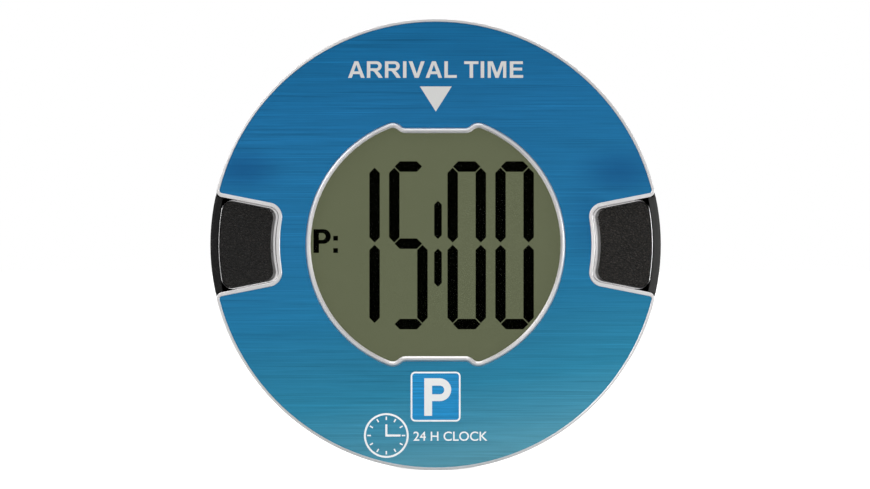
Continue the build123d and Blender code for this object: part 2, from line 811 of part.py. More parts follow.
with BuildPart() as button_pad_left:
    mirror(button_pad_right.part, about=Plane.YZ)
button_pad_left.part.label = "button_pad_left"
export_step(button_pad_left.part, "parts/button_pad_left.step")

with BuildPart() as button_dome_left:
    mirror(button_dome_right.part, about=Plane.YZ)
button_dome_left.part.label = "button_dome_left"
export_step(button_dome_left.part, "parts/button_dome_left.step")

with BuildPart() as contact_pill_left:
    mirror(contact_pill_right.part, about=Plane.YZ)
contact_pill_left.part.label = "contact_pill_left"
export_step(contact_pill_left.part, "parts/contact_pill_left.step")

# ---- Rear housing ----
back_plane = Plane(origin=(0, thickness / 2, 0), x_dir=(1, 0, 0), z_dir=(0, 1, 0))
with BuildPart() as rear_housing:
    with BuildSketch(at(thickness)):
        Circle(disc_radius)
    extrude(amount=thickness - bezel_back)
    fillet(rear_housing.faces().sort_by(Axis.Y)[-1].edges(), rear_edge_radius)
    with BuildSketch(at(floor_front)):
        Circle(housing_inner_radius)
    extrude(amount=floor_front - bezel_back, mode=Mode.SUBTRACT)
    # Strips that stand up outside the buttons and close the rim there
    with BuildSketch(at(bezel_back)) as strips:
        add(bay_outline(bay_lip + strip_gap, outer_radius=disc_radius))
        Circle(housing_inner_radius, mode=Mode.SUBTRACT)
        mirror(about=Plane.YZ)
    extrude(amount=bezel_back - strip_depth)
    strip_top = strip_depth - thickness / 2
    arc_middle = strip_edge_radius * (1 - cos(radians(45)))
    with BuildSketch(Plane.XY):
        with BuildLine():
            Polyline(
                (disc_radius - strip_edge_radius, strip_top),
                (disc_radius - strip_edge_radius, strip_top - strip_depth),
                (disc_radius + strip_edge_radius, strip_top - strip_depth),
                (disc_radius + strip_edge_radius, strip_top + strip_edge_radius),
                (disc_radius, strip_top + strip_edge_radius),
            )
            ThreePointArc(
                (disc_radius, strip_top + strip_edge_radius),
                (disc_radius - arc_middle, strip_top + arc_middle),
                (disc_radius - strip_edge_radius, strip_top),
            )
        make_face()
    revolve(axis=Axis.Y, mode=Mode.SUBTRACT)
    # Battery compartment: a round cup with a nest for each cell
    with BuildSketch(at(floor_front)):
        Circle(cup_radius + cup_wall)
    extrude(amount=floor_front - cup_floor_front)
    with BuildSketch(at(floor_front)):
        Circle(cup_radius)
    extrude(amount=floor_front - cup_floor_back, mode=Mode.SUBTRACT)
    with BuildSketch(at(cup_floor_back)):
        with GridLocations(cell_spacing, 0, 2, 1):
            Circle(cell_diameter / 2 + cell_gap + nest_wall)
        with GridLocations(cell_spacing, 0, 2, 1):
            Circle(cell_diameter / 2 + cell_gap, mode=Mode.SUBTRACT)
        Rectangle(2 * contact_tail_width, nest_break_height, mode=Mode.SUBTRACT)
        with Locations((0, leaf_z + contact_leaf_thickness / 2)):
            Rectangle(2 * contact_leaf_half_width + 1, 5 * contact_leaf_thickness, mode=Mode.SUBTRACT)
    extrude(amount=-nest_height)
    # Opening, seat and lug slots of the cover
    with BuildSketch(at(thickness)):
        Circle(cover_opening_radius)
    extrude(amount=housing_floor, mode=Mode.SUBTRACT)
    with BuildSketch(at(thickness)):
        Circle(cover_flange_radius + cover_gap)
    extrude(amount=thickness - lip_back, mode=Mode.SUBTRACT)
    with BuildSketch(at(lip_back)) as slots:
        with PolarLocations(0, lug_count, start_angle=90 - cover_turn):
            add(lug_sector(lug_width_angle + lug_slot_play, cover_opening_radius - 1, lug_slot_radius))
    extrude(amount=lip_thickness, mode=Mode.SUBTRACT)
    # Columns for the housing screws, with their counterbores open at the back
    with BuildSketch(at(floor_front)):
        with GridLocations(2 * screw_x, 2 * screw_z, 2, 2):
            Circle(column_diameter / 2)
    extrude(amount=floor_front - boss_end_depth)
    with Locations(back_plane):
        with GridLocations(2 * screw_x, 2 * screw_z, 2, 2):
            CounterBoreHole(
                radius=housing_screw_diameter / 2 + screw_clearance,
                counter_bore_radius=housing_screw_head / 2 + 2 * screw_clearance,
                counter_bore_depth=housing_screw_seat,
                depth=thickness - boss_end_depth,
            )
    # Posts that carry the board, and bored posts that guide the button pins
    with BuildSketch(at(floor_front)):
        with GridLocations(2 * board_screw_x, 2 * board_screw_z, 2, 2):
            Circle(board_post_diameter / 2)
    extrude(amount=floor_front - board_back)
    with BuildSketch(at(board_back + board_screw_length)):
        with GridLocations(2 * board_screw_x, 2 * board_screw_z, 2, 2):
            Circle(board_screw_diameter / 2 + screw_fit)
    extrude(amount=board_screw_length, mode=Mode.SUBTRACT)
    with BuildSketch(at(floor_front)):
        with GridLocations(2 * guide_x, 2 * guide_pin_spread, 2, 2):
            Circle(board_post_diameter / 2)
    extrude(amount=floor_front - guide_post_depth)
    with BuildSketch(at(guide_bore_end)):
        with GridLocations(2 * guide_x, 2 * guide_pin_spread, 2, 2):
            Circle(guide_bore_radius)
    extrude(amount=guide_bore_end - guide_post_depth, mode=Mode.SUBTRACT)
    # Slots for the tails of the battery contacts
    with BuildSketch(at(cup_floor_back)):
        with Locations((0, leaf_z + contact_leaf_thickness / 2), (0, -leaf_z)):
            Rectangle(tail_slot, 2 * contact_leaf_thickness)
    extrude(amount=cup_floor, mode=Mode.SUBTRACT)
    # Open and locked marks beside the cover
    with BuildSketch(at(thickness)):
        with PolarLocations(mark_circle_radius, 2, start_angle=90, angular_range=-2 * cover_turn):
            Circle(mark_radius)
    extrude(amount=mark_depth, mode=Mode.SUBTRACT)
rear_housing.part.label = "rear_housing"
export_step(rear_housing.part, "parts/rear_housing.step")

# ---- Battery cover, a twist-off lid with three lugs under the housing's lip ----
with BuildPart() as battery_cover:
    with BuildSketch(at(thickness)):
        Circle(cover_flange_radius)
    extrude(amount=cover_flange_thickness)
    with BuildSketch(at(thickness)):
        Circle(cover_skirt_radius)
    extrude(amount=thickness - lug_front)
    with BuildSketch(at(thickness - cover_plate)):
        Circle(cover_skirt_radius - cover_skirt_wall)
    extrude(amount=thickness - cover_plate - lug_front, mode=Mode.SUBTRACT)
    with BuildSketch(at(lug_back)):
        with PolarLocations(0, lug_count, start_angle=90):
            add(lug_sector(lug_width_angle, cover_skirt_radius - 1, cover_skirt_radius + lug_reach))
    extrude(amount=lug_height)
    with BuildSketch(at(thickness)):
        SlotOverall(coin_slot_length, coin_slot_width)
        with Locations((0, cover_flange_radius - 2.4)):
            Triangle(a=2.2, b=2.2, c=2.2)
    extrude(amount=coin_slot_depth, mode=Mode.SUBTRACT)
    rim = battery_cover.faces().sort_by(Axis.Y)[-1].outer_wire().edges()
    chamfer(rim, 0.2)
battery_cover.part.label = "battery_cover"
export_step(battery_cover.part, "parts/battery_cover.step")

with BuildPart() as cover_seal:
    with BuildSketch(at(lip_back + seal_thickness)):
        Circle(cover_flange_radius - cover_gap)
        Circle(cover_flange_radius - cover_gap - seal_width, mode=Mode.SUBTRACT)
    extrude(amount=seal_thickness)
cover_seal.part.label = "cover_seal"
export_step(cover_seal.part, "parts/cover_seal.step")

# ---- Coin cells and their contacts ----
with BuildPart() as coin_cell_right:
    with BuildSketch(at(cell_back)):
        with Locations((cell_spacing / 2, 0)):
            Circle(cell_diameter / 2)
    extrude(amount=cell_height - cell_cap_step)
    fillet(coin_cell_right.faces().sort_by(Axis.Y)[-1].edges(), 0.4)
    with BuildSketch(at(cell_back - cell_height + cell_cap_step)):
        with Locations((cell_spacing / 2, 0)):
            Circle(cell_diameter / 2 - cell_cap_inset)
    extrude(amount=cell_cap_step)
coin_cell_right.part.label = "coin_cell_right"
export_step(coin_cell_right.part, "parts/coin_cell_right.step")

with BuildPart() as coin_cell_left:
    mirror(coin_cell_right.part, about=Plane.YZ)
coin_cell_left.part.label = "coin_cell_left"
export_step(coin_cell_left.part, "parts/coin_cell_left.step")

with BuildPart() as negative_contact:
    with BuildSketch(at(cup_floor_back + contact_thickness)):
        Rectangle(cell_spacing + 2 * contact_tail_width, 2 * contact_tail_width)
        with Locations((0, -leaf_z / 2)):
            Rectangle(contact_tail_width, leaf_z + contact_leaf_thickness)
    extrude(amount=contact_thickness)
    with BuildSketch(at(cup_floor_back)):
        with Locations((0, -leaf_z)):
            Rectangle(contact_tail_width, contact_leaf_thickness)
    extrude(amount=cup_floor_back - board_front)
negative_contact.part.label = "negative_contact"
export_step(negative_contact.part, "parts/negative_contact.step")

with BuildPart() as positive_contact:
    with BuildSketch(at(cup_floor_back + contact_leaf_height)):
        with Locations((0, leaf_z + contact_leaf_thickness / 2)):
            Rectangle(2 * contact_leaf_half_width, contact_leaf_thickness)
    extrude(amount=contact_leaf_height)
    with BuildSketch(at(cup_floor_back)):
        with Locations((0, leaf_z + contact_leaf_thickness / 2)):
            Rectangle(contact_tail_width, contact_leaf_thickness)
    extrude(amount=cup_floor_back - board_front)
positive_contact.part.label = "positive_contact"
export_step(positive_contact.part, "parts/positive_contact.step")

# ---- Screws ----
with BuildPart() as housing_screws:
    with BuildSketch(at(screw_seat_depth)):
        with GridLocations(2 * screw_x, 2 * screw_z, 2, 2):
            Circle(housing_screw_diameter / 2)
    extrude(amount=housing_screw_length)
    with BuildSketch(at(screw_seat_depth)):
        with GridLocations(2 * screw_x, 2 * screw_z, 2, 2):
            Circle(housing_screw_head / 2)
    extrude(amount=-housing_screw_head_height)
    fillet(housing_screws.faces().filter_by(Axis.Y).group_by(Axis.Y)[-1].edges(), 0.5)
    with BuildSketch(at(screw_seat_depth + housing_screw_head_height)):
        with GridLocations(2 * screw_x, 2 * screw_z, 2, 2):
            add(cross_recess())
    extrude(amount=recess_depth, mode=Mode.SUBTRACT)
housing_screws.part.label = "housing_screws"
export_step(housing_screws.part, "parts/housing_screws.step")

with BuildPart() as board_screws:
    with BuildSketch(at(board_front + board_screw_length)):
        with GridLocations(2 * board_screw_x, 2 * board_screw_z, 2, 2):
            Circle(board_screw_diameter / 2)
    extrude(amount=board_screw_length)
    with BuildSketch(at(board_front)):
        with GridLocations(2 * board_screw_x, 2 * board_screw_z, 2, 2):
            Circle(board_screw_head / 2)
    extrude(amount=board_screw_head_height)
    fillet(board_screws.faces().filter_by(Axis.Y).group_by(Axis.Y)[0].edges(), 0.4)
    with BuildSketch(at(board_front - board_screw_head_height + recess_depth)):
        with GridLocations(2 * board_screw_x, 2 * board_screw_z, 2, 2):
            add(cross_recess())
    extrude(amount=recess_depth, mode=Mode.SUBTRACT)
board_screws.part.label = "board_screws"
export_step(board_screws.part, "parts/board_screws.step")
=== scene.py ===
"""Looks of the electronic parking disc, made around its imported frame.

Metres. The disc stands upright on its rim with its face towards -Y, and the frame's origin is its
centre. Patterns are laid out in millimetres on the object's own coordinates.
"""

import json
import math

import bmesh
import bpy
from mathutils import Matrix, Vector


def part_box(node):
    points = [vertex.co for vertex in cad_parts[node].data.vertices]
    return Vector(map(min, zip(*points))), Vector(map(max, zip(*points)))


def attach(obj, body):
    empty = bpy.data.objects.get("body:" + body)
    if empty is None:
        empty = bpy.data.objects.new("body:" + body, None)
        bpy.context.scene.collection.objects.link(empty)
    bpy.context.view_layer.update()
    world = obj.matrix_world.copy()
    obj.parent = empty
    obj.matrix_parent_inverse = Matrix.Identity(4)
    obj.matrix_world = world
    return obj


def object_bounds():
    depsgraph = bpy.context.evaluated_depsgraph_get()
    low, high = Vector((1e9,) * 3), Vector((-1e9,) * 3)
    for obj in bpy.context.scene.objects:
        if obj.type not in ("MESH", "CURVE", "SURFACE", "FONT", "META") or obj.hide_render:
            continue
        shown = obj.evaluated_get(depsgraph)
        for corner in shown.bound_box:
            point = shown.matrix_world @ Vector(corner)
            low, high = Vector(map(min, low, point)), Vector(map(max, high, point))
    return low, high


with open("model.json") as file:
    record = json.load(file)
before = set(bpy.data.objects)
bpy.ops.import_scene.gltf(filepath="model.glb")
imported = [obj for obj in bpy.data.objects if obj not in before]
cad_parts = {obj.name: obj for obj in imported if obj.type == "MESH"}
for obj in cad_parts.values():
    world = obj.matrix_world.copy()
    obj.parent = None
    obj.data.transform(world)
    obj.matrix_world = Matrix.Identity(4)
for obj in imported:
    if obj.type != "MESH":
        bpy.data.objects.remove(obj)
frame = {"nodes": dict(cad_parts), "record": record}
cad_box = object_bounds()

MM = 0.001
rim_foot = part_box("front_bezel")[0].z
face_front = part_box("face_inlay")[0].y
disc_back = cad_box[1].y


# ---- Finishes ----

def shade(red, green, blue):
    """Linear colour of a paint chip given from 0 to 255."""
    def linear(value):
        value /= 255
        return value / 12.92 if value <= 0.04045 else ((value + 0.055) / 1.055) ** 2.4
    return linear(red), linear(green), linear(blue)


class Finish:
    """A node material, with short calls for the nodes that shape it. Sizes are in millimetres."""

    def __init__(self, name, colour, roughness, **values):
        self.material = bpy.data.materials.new(name)
        self.material.use_nodes = True
        self.nodes = self.material.node_tree.nodes
        self.links = self.material.node_tree.links
        self.shader = self.nodes["Principled BSDF"]
        self.place = self.nodes.new("ShaderNodeTexCoord").outputs["Object"]
        self.give(self.shader, {"Base Color": colour, "Roughness": roughness})
        self.give(self.shader, {key.replace("_", " "): value for key, value in values.items()})

    def give(self, node, values):
        """Sets a node's sockets, by name or number, to values or to other nodes' outputs."""
        for key, value in values.items():
            socket = node.inputs[key]
            if isinstance(value, bpy.types.NodeSocket):
                self.links.new(value, socket)
            elif socket.type == "RGBA" and len(value) == 3:
                socket.default_value = (*value, 1)
            else:
                socket.default_value = value
        return node

    def node(self, kind, values, **settings):
        made = self.nodes.new(kind)
        for key, value in settings.items():
            setattr(made, key, value)
        return self.give(made, values)

    def spread(self, size, centre=(0, 0, 0), turn=(0, 0, 0)):
        """The object's coordinates about centre, with one unit for each size in millimetres."""
        moved = self.node("ShaderNodeVectorMath", {0: self.place, 1: [-c * MM for c in centre]},
                          operation="ADD").outputs[0]
        if any(turn):
            moved = self.node("ShaderNodeMapping",
                              {"Vector": moved, "Rotation": [math.radians(t) for t in turn]}
                              ).outputs[0]
        return self.node("ShaderNodeVectorMath", {0: moved, 1: [1 / (s * MM) for s in size]},
                         operation="MULTIPLY").outputs[0]

    def noise(self, size, detail=3.0, roughness=0.5, shift=(0, 0, 0), turn=(0, 0, 0)):
        """Cloudy noise from 0 to 1, with features of that size in millimetres."""
        return self.node("ShaderNodeTexNoise",
                         {"Vector": self.spread(size, shift, turn), "Scale": 1.0, "Detail": detail,
                          "Roughness": roughness}).outputs[0]

    def cells(self, size, feature="DISTANCE_TO_EDGE", randomness=1.0, vector=None):
        """Distances in a cell pattern of that size, or over a given vector."""
        return self.node("ShaderNodeTexVoronoi",
                         {"Vector": vector or self.spread(size), "Scale": 1.0,
                          "Randomness": randomness}, feature=feature).outputs[0]

    def spot(self, centre, size):
        """1 at centre, falling to 0 at size from it."""
        return self.node("ShaderNodeTexGradient", {"Vector": self.spread(size, centre)},
                         gradient_type="SPHERICAL").outputs[1]

    def span(self, value, low, high, to_low=0.0, to_high=1.0, smooth=False):
        """value's range from low to high, spread over to_low to to_high and held at its ends."""
        return self.node("ShaderNodeMapRange",
                         {"Value": value, "From Min": low, "From Max": high,
                          "To Min": to_low, "To Max": to_high},
                         interpolation_type="SMOOTHSTEP" if smooth else "LINEAR").outputs[0]

    def along(self, axis, low, high):
        """0 at low to 1 at high millimetres along an axis."""
        split = self.node("ShaderNodeSeparateXYZ", {0: self.place})
        return self.span(split.outputs["XYZ".index(axis)], low * MM, high * MM)

    def calc(self, operation, first, second):
        return self.node("ShaderNodeMath", {0: first, 1: second}, operation=operation).outputs[0]

    def ramp(self, value, *stops):
        """A colour from stops, which are (position, colour), read at value."""
        made = self.node("ShaderNodeValToRGB", {0: value})
        marks = made.color_ramp.elements
        while len(marks) < len(stops):
            marks.new(0.5)
        for mark, (position, colour) in zip(marks, stops):
            mark.position = position
            mark.color = (*colour, 1)
        return made.outputs[0]

    def mix(self, share, first, second, mode="MIX"):
        made = self.node("ShaderNodeMix", {}, data_type="RGBA", blend_type=mode)
        self.give(made, {0: share, 6: first, 7: second})
        return made.outputs[2]

    def brightened(self, colour, value, low, high):
        """colour scaled by low where value is 0 and by high where it is 1."""
        level = self.span(value, 0, 1, low, high)
        grey = self.node("ShaderNodeCombineColor", {0: level, 1: level, 2: level}).outputs[0]
        return self.mix(1.0, colour, grey, "MULTIPLY")

    def relief(self, height, depth, under=None):
        """A bump of that depth in millimetres, on top of another one."""
        values = {"Height": height, "Distance": depth * MM, "Strength": 1.0}
        if under is not None:
            values["Normal"] = under
        return self.node("ShaderNodeBump", values).outputs[0]

    def wear(self, **outputs):
        """Feeds the shader's sockets."""
        self.give(self.shader, {key.replace("_", " "): value for key, value in outputs.items()})
        return self.material


def metal(name, colour, roughness, grain=(6, 6, 0.12), depth=0.002, tint=0.06, patchy=0.06,
          turned=0.0):
    """Plated or rolled metal: fine grain lines, cloudy tone and a roughness that varies with it.

    A turned one was polished round the disc's axis, so that its shine fans out from there."""
    finish = Finish(name, colour, roughness, Metallic=1.0)
    if turned:
        round_axis = finish.node("ShaderNodeTangent", {}, direction_type="RADIAL", axis="Y")
        finish.give(finish.shader, {"Anisotropic": turned, "Anisotropic Rotation": 0.25,
                                    "Tangent": round_axis.outputs[0]})
    lines = finish.noise(grain, detail=4, roughness=0.6)
    cloud = finish.noise((7, 7, 7), detail=4, roughness=0.55, shift=(3, 1, 2))
    return finish.wear(
        Base_Color=finish.brightened(colour, cloud, 1 - tint, 1 + tint),
        Roughness=finish.span(cloud, 0.3, 0.7, roughness - patchy, roughness + patchy),
        Normal=finish.relief(lines, depth))


def moulded(name, colour, roughness, pit=0.35, depth=0.02):
    """Moulded plastic or rubber: fine spark-eroded texture and faint flow clouding."""
    finish = Finish(name, colour, roughness)
    texture = finish.noise((pit,) * 3, detail=4, roughness=0.62)
    cloud = finish.noise((9, 9, 9), detail=3, shift=(5, 2, 1))
    return finish.wear(
        Base_Color=finish.brightened(colour, cloud, 0.88, 1.12),
        Roughness=finish.span(texture, 0.25, 0.75, roughness - 0.07, roughness + 0.07),
        Normal=finish.relief(texture, depth))


def housing_black():
    """The back's black plastic: spark-eroded grain, fine scuffs from handling and flow clouding.

    It is painted a little paler towards the right, as painted light from the lamps on that side."""
    finish = Finish("housing_black", shade(30, 30, 31), 0.5, Specular_IOR_Level=0.2)
    grain = finish.noise((0.3,) * 3, detail=4, roughness=0.62)
    pits = finish.cells((0.9, 0.9, 0.9), "F1")
    cloud = finish.noise((9, 9, 9), detail=4, roughness=0.6, shift=(5, 2, 1))
    # painted light: the plastic is painted darker on the left and paler on the right, where the
    # lamps fall
    colour = finish.mix(finish.along("X", -52.5, 52.5), shade(8, 8, 9), shade(56, 56, 55))
    colour = finish.brightened(colour, cloud, 0.8, 1.2)
    scuffs = finish.calc("MAXIMUM", finish.noise((11, 11, 0.3), detail=3, turn=(0, 31, 0)),
                         finish.noise((8, 8, 0.26), detail=3, shift=(4, 0, 2), turn=(0, -54, 0)))
    scuffed = finish.span(scuffs, 0.62, 0.78, smooth=True)
    return finish.wear(
        Base_Color=finish.mix(finish.span(scuffed, 0, 1, 0, 0.5), colour, shade(72, 72, 71)),
        Roughness=finish.span(grain, 0.25, 0.75, 0.4, 0.6),
        Normal=finish.relief(pits, 0.05, under=finish.relief(grain, 0.03)))


def brushed_blue():
    """The face's print over long level brush marks: deep blue running to paler sea blue towards the
    bottom and right, partly printed and partly a painted reflection of brighter light there, with
    painted shade above the buttons.
    """
    finish = Finish("face_blue", shade(38, 112, 155), 0.42, Metallic=0.9)
    height = finish.along("Z", -52.5, 52.5)
    aside = finish.along("X", -52.5, 52.5)
    # partly printed colour and partly painted reflection: the blue is paler towards the bottom and
    # right, where brighter light is mirrored
    print_and_sheen_drift = finish.span(aside, 0, 1, 0.08, -0.08)
    blue = finish.ramp(finish.calc("ADD", height, print_and_sheen_drift),
                       (0.00, shade(105, 177, 198)), (0.10, shade(77, 162, 193)),
                       (0.18, shade(54, 148, 184)), (0.27, shade(48, 138, 177)),
                       (0.37, shade(41, 132, 178)), (0.53, shade(39, 126, 177)),
                       (0.80, shade(34, 119, 172)), (0.96, shade(26, 111, 162)))
    long_marks = finish.noise((30, 30, 0.34), detail=5, roughness=0.62)
    short_marks = finish.noise((9, 9, 0.16), detail=4, roughness=0.7, shift=(2, 0, 5))
    marks = finish.calc("ADD", finish.calc("MULTIPLY", long_marks, 0.62),
                        finish.calc("MULTIPLY", short_marks, 0.38))
    blue = finish.brightened(blue, finish.span(marks, 0.32, 0.68), 0.84, 1.16)
    deep_lines = finish.noise((34, 34, 0.22), detail=1, shift=(7, 0, 3))
    pale_lines = finish.noise((60, 60, 0.17), detail=1, shift=(1, 0, 8))
    blue = finish.brightened(blue, finish.span(deep_lines, 0.60, 0.74, smooth=True), 1.0, 0.8)
    blue = finish.brightened(blue, finish.span(pale_lines, 0.60, 0.74, smooth=True), 1.0, 1.22)
    # painted shade: soft dark patches on the face above both buttons and beside the right one
    painted_shade = finish.calc("MAXIMUM", finish.spot((-45, 0, 17.5), (13, 40, 7)),
                       finish.spot((43, 0, 17), (14, 40, 8)))
    shade_beside_button = finish.calc("MULTIPLY", finish.spot((36, 0, 5), (9, 40, 16)), 0.6)
    painted_shade = finish.calc("MAXIMUM", painted_shade, shade_beside_button)
    blue = finish.mix(finish.span(painted_shade, 0, 1, 0, 0.66, smooth=True), blue, shade(20, 84, 140))
    return finish.wear(Base_Color=blue,
                       Roughness=finish.span(marks, 0.35, 0.65, 0.36, 0.5),
                       Normal=finish.relief(marks, 0.006))


def screen_film():
    """The display's greenish grey film, with faint clouding and a fine matt grain, and a faint
    painted glow that lights it evenly in its recess.
    """
    film = shade(42, 44, 32)
    # painted light: the emission fills in the shade that the bezel casts into the display's recess
    finish = Finish("lcd_film", film, 0.6, Emission_Color=shade(100, 104, 80),
                    Emission_Strength=0.85, Specular_IOR_Level=0.08)
    cloud = finish.noise((14, 14, 14), detail=2)
    grain = finish.noise((0.22, 0.22, 0.22), detail=2)
    colour = finish.brightened(film, cloud, 0.95, 1.05)
    return finish.wear(Base_Color=finish.brightened(colour, grain, 0.97, 1.03),
                       Normal=finish.relief(grain, 0.003))


def segment_black():
    """Switched-on segments: nearly black, with a trace of depth to their tone."""
    finish = Finish("lcd_dark", shade(2, 3, 1), 0.6, Specular_IOR_Level=0.0)
    tone = finish.noise((3, 3, 3), detail=2)
    return finish.wear(Base_Color=finish.mix(tone, shade(1, 1, 0), shade(5, 6, 3)))


def clear(name, tint, mirror):
    """A clear coated pane, which mirrors little of what is before it."""
    haze = 0.03
    finish = Finish(name, tint, haze)
    smear = finish.noise((6, 6, 6), detail=3)
    smeared = finish.span(smear, 0, 1, haze, haze * 2.5)
    gloss = finish.node("ShaderNodeBsdfGlossy", {"Color": (1, 1, 1), "Roughness": smeared})
    through = finish.node("ShaderNodeBsdfTransparent", {"Color": tint})
    share = finish.node("ShaderNodeFresnel", {"IOR": mirror})
    mixed = finish.node("ShaderNodeMixShader", {0: share.outputs[0], 1: through.outputs[0],
                                                2: gloss.outputs[0]})
    finish.links.new(mixed.outputs[0], finish.nodes["Material Output"].inputs["Surface"])
    finish.nodes.remove(finish.shader)
    return finish.material


def leather_black():
    """The buttons' pads: black leather grain, cells of uneven size with creases between them."""
    finish = Finish("pad_black", shade(30, 29, 27), 0.5, Specular_IOR_Level=0.3)
    wander = finish.noise((2.2, 2.2, 2.2), detail=2)
    bent = finish.node("ShaderNodeVectorMath", {0: finish.spread((0.62, 0.62, 0.5)), 1: wander},
                       operation="ADD").outputs[0]
    creases = finish.span(finish.cells(None, vector=bent), 0.0, 0.22, smooth=True)
    pebbles = finish.cells(None, "SMOOTH_F1", vector=bent)
    fine = finish.noise((0.12, 0.12, 0.12), detail=3)
    cloud = finish.noise((5, 5, 5), detail=3, shift=(1, 4, 2))
    colour = finish.mix(creases, shade(9, 8, 6), shade(30, 27, 24))
    # painted light: the pads are painted darker on the left and lighter on the right, where the
    # lamps fall
    colour = finish.brightened(colour, finish.along("X", -48, 48), 0.62, 1.5)
    flecks = finish.noise((0.6, 0.6, 0.3), detail=2, roughness=0.6, shift=(2, 6, 1))
    colour = finish.brightened(colour, finish.span(flecks, 0.36, 0.64), 0.35, 1.65)
    rise = finish.relief(creases, 0.2, under=finish.relief(fine, 0.014))
    return finish.wear(
        Base_Color=finish.brightened(colour, cloud, 0.86, 1.14),
        Roughness=finish.span(flecks, 0.36, 0.64, 0.66, 0.42),
        Normal=finish.relief(pebbles, -0.12, under=rise))


def solder_mask():
    """Green board lacquer over copper tracks."""
    finish = Finish("board_green", shade(22, 92, 56), 0.28)
    tracks = finish.cells((2.4, 9, 2.4), randomness=0.35)
    on_track = finish.span(tracks, 0.10, 0.14)
    weave = finish.noise((0.5, 0.5, 0.5), detail=3)
    colour = finish.mix(on_track, shade(34, 120, 74), shade(18, 84, 50))
    return finish.wear(Base_Color=finish.brightened(colour, weave, 0.92, 1.08),
                       Roughness=finish.span(weave, 0.2, 0.8, 0.22, 0.36),
                       Normal=finish.relief(on_track, 0.02))


def ink(name, colour, marks=0.0):
    """Screen-printed ink, with a fine orange-peel surface and, over brushed metal, its marks."""
    roughness = 0.42
    finish = Finish(name, colour, roughness, Specular_IOR_Level=0.2)
    peel = finish.noise((0.28, 0.28, 0.28), detail=2)
    streaks = finish.noise((14, 14, 0.2), detail=4, roughness=0.65)
    shown = finish.brightened(colour, finish.span(streaks, 0.3, 0.7), 1 - marks, 1 + marks)
    return finish.wear(Base_Color=finish.brightened(shown, peel, 0.97, 1.03),
                       Roughness=finish.span(peel, 0.2, 0.8, roughness - 0.05, roughness + 0.08),
                       Normal=finish.relief(peel, 0.004))


def zebra():
    """The display's conductor strips: dark and pale rubber in turn along X."""
    finish = Finish("zebra_rubber", shade(120, 120, 118), 0.6)
    place = finish.spread((0.6, 0.6, 0.6))
    bands = finish.node("ShaderNodeTexWave", {"Vector": place, "Scale": 1.0},
                        bands_direction="X").outputs[1]
    return finish.wear(Base_Color=finish.mix(bands, shade(40, 40, 40), shade(190, 190, 186)),
                       Normal=finish.relief(finish.noise((0.3,) * 3), 0.01))


finishes = {
    "bezel_chrome": metal("bezel_chrome", shade(248, 246, 246), 0.3, depth=0.0002, tint=0.02,
                          patchy=0.02, turned=0.75),
    "face_blue": brushed_blue(),
    "tape": moulded("tape", shade(226, 224, 216), 0.7, pit=0.5),
    "lens_clear": clear("lens_clear", (0.97, 0.98, 0.97), 1.05),
    "foam_black": moulded("foam_black", shade(38, 38, 38), 0.9, pit=0.3, depth=0.08),
    "lcd_film": screen_film(),
    "lcd_dark": segment_black(),
    "display_glass": clear("display_glass", (0.9, 0.94, 0.91), 1.2),
    "frame_white": moulded("frame_white", shade(224, 223, 216), 0.5),
    "zebra_rubber": zebra(),
    "board_green": solder_mask(),
    "chip_black": moulded("chip_black", shade(42, 42, 43), 0.55, pit=0.2),
    "crystal_steel": metal("crystal_steel", shade(214, 213, 209), 0.25),
    "component_ceramic": moulded("component_ceramic", shade(178, 158, 128), 0.4, pit=0.2,
                                 depth=0.01),
    "contact_gold": metal("contact_gold", shade(236, 196, 112), 0.25, depth=0.001),
    "button_chrome": metal("button_chrome", shade(248, 247, 247), 0.28, depth=0.0002, tint=0.02,
                           patchy=0.02),
    "pad_black": leather_black(),
    "dome_silicone": moulded("dome_silicone", shade(198, 197, 192), 0.45, pit=0.6, depth=0.01),
    "pill_carbon": moulded("pill_carbon", shade(28, 28, 28), 0.7, pit=0.2),
    "housing_black": housing_black(),
    "cell_steel": metal("cell_steel", shade(222, 220, 214), 0.3, grain=(9, 9, 0.1)),
    "spring_steel": metal("spring_steel", shade(212, 209, 200), 0.28, grain=(4, 4, 0.1)),
    "screw_steel": metal("screw_steel", shade(206, 205, 202), 0.32, grain=(1.2, 1.2, 0.15)),
}
print_grey = ink("print_grey", shade(205, 205, 203))
print_white = ink("print_white", shade(238, 239, 238))
print_bright = ink("print_bright", shade(250, 252, 252))
sign_blue = ink("sign_blue", shade(32, 139, 196), marks=0.3)

for part in frame["record"]["subparts"]:
    for held in frame["nodes"][part["node"]].material_slots:
        held.material = finishes[part["material_slot"]]


# ---- Print on the face ----

ink_thickness = 0.02
ink_bite = 0.004              # how far the ink's back lies in the face


def arc(across, up, wide, high, start, end, steps=14):
    """Points of an elliptical arc about (across, up), from start to end degrees."""
    return [(across + wide * math.cos(math.radians(start + (end - start) * n / steps)),
             up + high * math.sin(math.radians(start + (end - start) * n / steps)))
            for n in range(steps + 1)]


